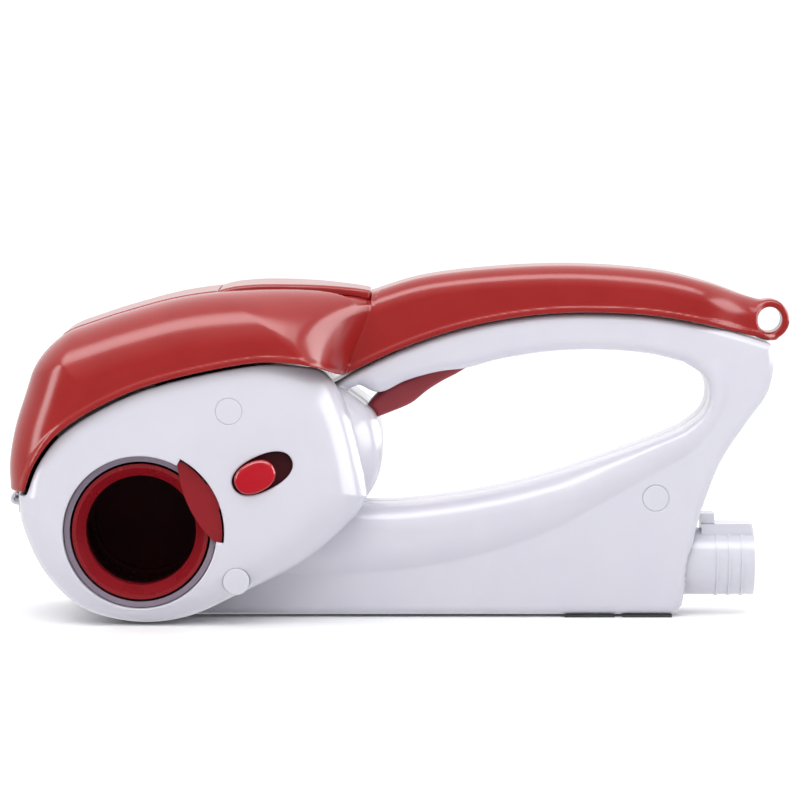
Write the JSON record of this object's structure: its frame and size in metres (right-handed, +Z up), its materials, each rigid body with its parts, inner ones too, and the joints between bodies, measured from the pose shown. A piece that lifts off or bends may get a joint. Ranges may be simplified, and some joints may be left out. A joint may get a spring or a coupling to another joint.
{
  "type": "cordless drum grater",
  "caption": "Cordless handheld grater: a side drum turned by a geared motor, a red pressing lever on top, a trigger in the loop handle and a slide-out battery pack.",
  "frame": {"origin": "under the middle of the overall box, on the surface the grater stands on", "axes": "+X from the grating head to the hanging loop, along the length; +Y away from the drum's mouth; +Z up"},
  "size_m": [0.2904, 0.093, 0.1314],
  "materials": {
    "white_plastic": "moulded, glossy white with a faint lilac cast",
    "red_plastic": "moulded, high gloss red",
    "dark_red_plastic": "moulded, satin dark red",
    "trigger_plastic": "moulded, fine matt red",
    "button_plastic": "moulded, bright red",
    "lilac_plastic": "moulded, grey lilac",
    "black_plastic": "moulded black",
    "gear_nylon": "natural nylon",
    "drum_steel": "punched stainless steel",
    "spring_steel": "bright drawn steel",
    "motor_steel": "zinc plated sheet",
    "brass": "turned brass",
    "foot_rubber": "soft matt rubber",
    "cell_wrap": "shrink sleeve"
  },
  "bodies": {
    "housing": {"near_shell": "white_plastic", "far_shell": "white_plastic", "drum_side_cover": "white_plastic", "gearbox_cover": "white_plastic", "hopper": "white_plastic", "chamber_sleeve": "lilac_plastic", "battery_sleeve": "black_plastic", "front_contact": "spring_steel", "contact_terminal": "brass", "motor_can": "motor_steel", "motor_end_cap": "black_plastic", "motor_plate": "motor_steel", "gearbox_plate": "motor_steel", "gear_axles": "spring_steel", "gearbox_pillars": "motor_steel", "drum_bush": "brass", "latch_guide": "white_plastic", "latch_spring": "spring_steel", "trigger_pin": "spring_steel", "trigger_spring": "spring_steel", "switch_body": "black_plastic", "hinge_pin": "spring_steel", "screw_plugs": "white_plastic", "case_screws": "spring_steel", "rubber_feet": "foot_rubber", "front_foot": "foot_rubber"},
    "lever": {"lever_shell": "red_plastic", "lever_liner": "dark_red_plastic", "hood_inlay": "red_plastic", "thumb_cap": "red_plastic", "presser_block": "white_plastic"},
    "trigger": {"trigger": "trigger_plastic"},
    "plunger": {"switch_plunger": "black_plastic"},
    "latch": {"drum_latch": "dark_red_plastic", "latch_button": "button_plastic"},
    "drum": {"grating_drum": "drum_steel", "drum_front_ring": "dark_red_plastic", "drum_hub": "dark_red_plastic", "drum_gear": "gear_nylon"},
    "first_gear": {"first_compound_gear": "gear_nylon"},
    "second_gear": {"second_compound_gear": "gear_nylon"},
    "rotor": {"motor_shaft": "spring_steel", "motor_pinion": "brass"},
    "battery": {"battery_case": "white_plastic", "battery_cells": "cell_wrap", "battery_cap": "white_plastic", "release_tab": "white_plastic"}
  },
  "joints": [
    {"name": "lever_hinge", "type": "hinge", "parent": "housing", "child": "lever", "pos_m": [-0.1428, 0, 0.0456], "axis": [0, -1, 0], "range_deg": [0, 65]},
    {"name": "trigger_pivot", "type": "hinge", "parent": "housing", "child": "trigger", "pos_m": [0.0225, 0, 0.0986], "axis": [0, 1, 0], "range_deg": [0, 4.5], "stiffness_Nm_per_rad": 0.35, "springref_deg": -5.73, "deforming": ["trigger_spring"]},
    {"name": "plunger_slide", "type": "slide", "parent": "housing", "child": "plunger", "axis": [0, 0, 1], "range_m": [0, 0.0018]},
    {"name": "latch_slide", "type": "slide", "parent": "housing", "child": "latch", "axis": [0.8988, 0, 0.4384], "range_m": [0, 0.0065], "stiffness_N_per_m": 200, "springref_m": -0.002, "deforming": ["latch_spring"]},
    {"name": "drum_spin", "type": "hinge", "parent": "housing", "child": "drum", "pos_m": [-0.096, 0, 0.035], "axis": [0, 1, 0], "continuous": true},
    {"name": "second_gear_spin", "type": "hinge", "parent": "housing", "child": "second_gear", "pos_m": [-0.06925, 0, 0.04345], "axis": [0, 1, 0], "continuous": true},
    {"name": "first_gear_spin", "type": "hinge", "parent": "housing", "child": "first_gear", "pos_m": [-0.04923, 0, 0.05555], "axis": [0, 1, 0], "continuous": true},
    {"name": "motor_spin", "type": "hinge", "parent": "housing", "child": "rotor", "pos_m": [-0.03, 0, 0.064], "axis": [0, 1, 0], "continuous": true},
    {"name": "battery_slide", "type": "slide", "parent": "housing", "child": "battery", "axis": [1, 0, 0], "range_m": [0, 0.15]}
  ],
  "couplings": [
    {"joint": "first_gear_spin", "follows": "motor_spin", "ratio": -0.25},
    {"joint": "second_gear_spin", "follows": "motor_spin", "ratio": 0.075},
    {"joint": "drum_spin", "follows": "motor_spin", "ratio": -0.03125},
    {"joint": "plunger_slide", "follows": "trigger_pivot", "m_per_rad": 0.022}
  ]
}
